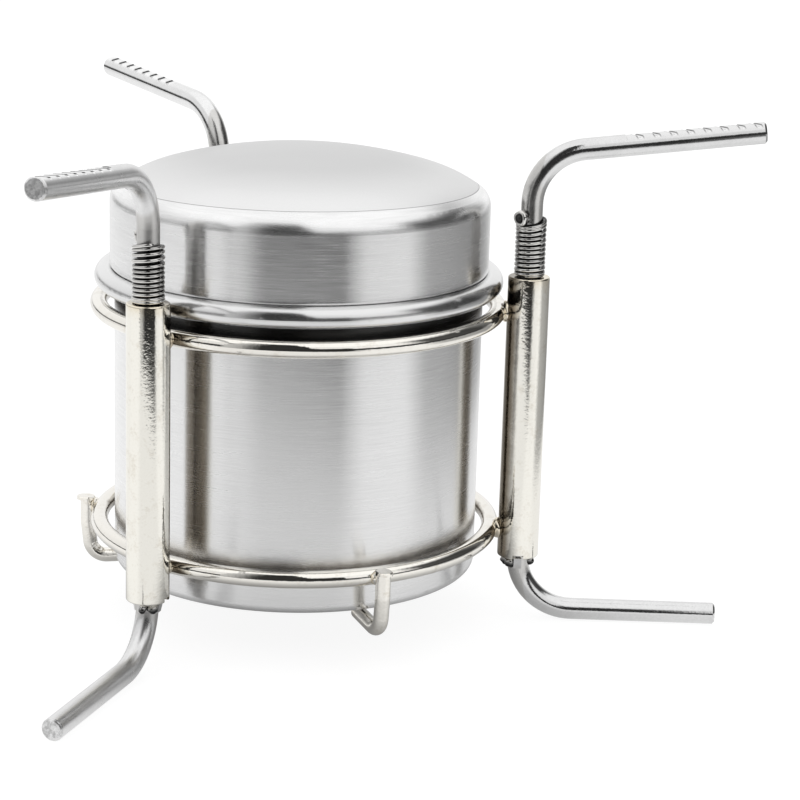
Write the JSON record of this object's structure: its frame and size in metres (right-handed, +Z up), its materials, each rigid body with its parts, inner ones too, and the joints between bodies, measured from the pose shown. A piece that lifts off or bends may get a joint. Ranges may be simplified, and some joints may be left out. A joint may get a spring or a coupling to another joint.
{
  "type": "alcohol stove",
  "caption": "Lidded spirit burner can in a wire ring stand, with sprung bent rods that swing out as feet below and pot arms above.",
  "frame": {"origin": "centre of the fuel can's flat base, on the can's axis, 12.4 mm above the surface the stove stands on", "axes": "+Z up along the can's axis; the right post stands 5 degrees from +X towards -Y, and the picture looks along +Y"},
  "size_m": [0.1606, 0.1839, 0.1194],
  "materials": {
    "nickel_plate": "bright nickel plate over welded wire and tube",
    "rod_steel": "satin drawn stainless bar",
    "spring_wire": "bright spring wire",
    "can_steel": "fine brushed stainless sheet",
    "lid_steel": "fine brushed stainless sheet, satin on top",
    "burner_steel": "pressed stainless sheet",
    "wick_felt": "undyed felt",
    "seal_rubber": "plain black rubber"
  },
  "bodies": {
    "stand": {"upper_ring": "nickel_plate", "lower_ring": "nickel_plate", "post_tube_right": "nickel_plate", "post_tube_rear": "nickel_plate", "post_tube_left": "nickel_plate", "can_hook_rear": "nickel_plate", "can_hook_left": "nickel_plate", "can_hook_front": "nickel_plate"},
    "spring_seat_right": {"spring_right": "spring_wire"},
    "rod_right": {"support_rod_right": "rod_steel"},
    "spring_seat_rear": {"spring_rear": "spring_wire"},
    "rod_rear": {"support_rod_rear": "rod_steel"},
    "spring_seat_left": {"spring_left": "spring_wire"},
    "rod_left": {"support_rod_left": "rod_steel"},
    "can": {"fuel_can": "can_steel", "jet_collar": "burner_steel", "inner_wall": "burner_steel", "wick_sleeve": "wick_felt"},
    "lid": {"lid": "lid_steel", "lid_seal": "seal_rubber"}
  },
  "joints": [
    {"name": "press_right", "type": "slide", "parent": "stand", "child": "spring_seat_right", "axis": [0, 0, 1], "range_m": [-0.002, 0], "stiffness_N_per_m": 2000, "springref_m": 0.001, "deforming": ["spring_right"]},
    {"name": "swing_right", "type": "hinge", "parent": "spring_seat_right", "child": "rod_right", "pos_m": [0.0527, -0.00461, 0], "axis": [0, 0, -1], "range_deg": [-166, 0]},
    {"name": "press_rear", "type": "slide", "parent": "stand", "child": "spring_seat_rear", "axis": [0, 0, 1], "range_m": [-0.002, 0], "stiffness_N_per_m": 2000, "springref_m": 0.001, "deforming": ["spring_rear"]},
    {"name": "swing_rear", "type": "hinge", "parent": "spring_seat_rear", "child": "rod_rear", "pos_m": [-0.02236, 0.04794, 0], "axis": [0, 0, -1], "range_deg": [-156, 0]},
    {"name": "press_left", "type": "slide", "parent": "stand", "child": "spring_seat_left", "axis": [0, 0, 1], "range_m": [-0.002, 0], "stiffness_N_per_m": 2000, "springref_m": 0.001, "deforming": ["spring_left"]},
    {"name": "swing_left", "type": "hinge", "parent": "spring_seat_left", "child": "rod_left", "pos_m": [-0.03034, -0.04333, 0], "axis": [0, 0, -1], "range_deg": [-154, 0]},
    {"name": "can_lift", "type": "slide", "parent": "stand", "child": "can", "axis": [0, 0, 1], "range_m": [0, 0.112]},
    {"name": "lid_lift", "type": "slide", "parent": "can", "child": "lid", "axis": [0, 0, 1], "range_m": [0, 0.04]}
  ]
}
